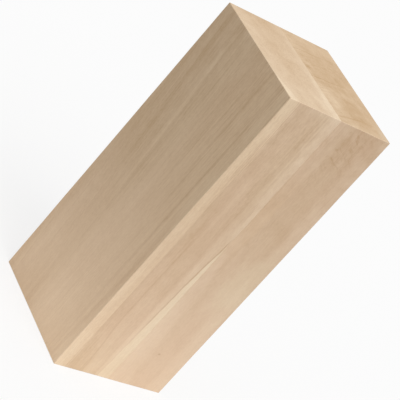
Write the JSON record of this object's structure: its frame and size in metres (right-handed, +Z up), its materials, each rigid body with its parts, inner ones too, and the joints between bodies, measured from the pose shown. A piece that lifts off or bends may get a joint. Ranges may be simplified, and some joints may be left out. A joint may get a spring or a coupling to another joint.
{
  "type": "basswood carving block",
  "caption": "Square-section block of unfinished basswood, glued up face to face along a straight glue line, with planed faces, sawn ends and eased edges, for whittling and carving.",
  "frame": {"origin": "centre of the lower sawn end, on the surface that the block stands on", "axes": "+Z up along the grain, +X across the glue line from the pale board to the tan board, +Y along the width of the boards"},
  "size_m": [0.0508, 0.0508, 0.127],
  "materials": {
    "pale_basswood": "planed, unfinished",
    "tan_basswood": "planed, unfinished"
  },
  "bodies": {
    "root": {"pale_board": "pale_basswood", "tan_board": "tan_basswood"}
  },
  "joints": []
}
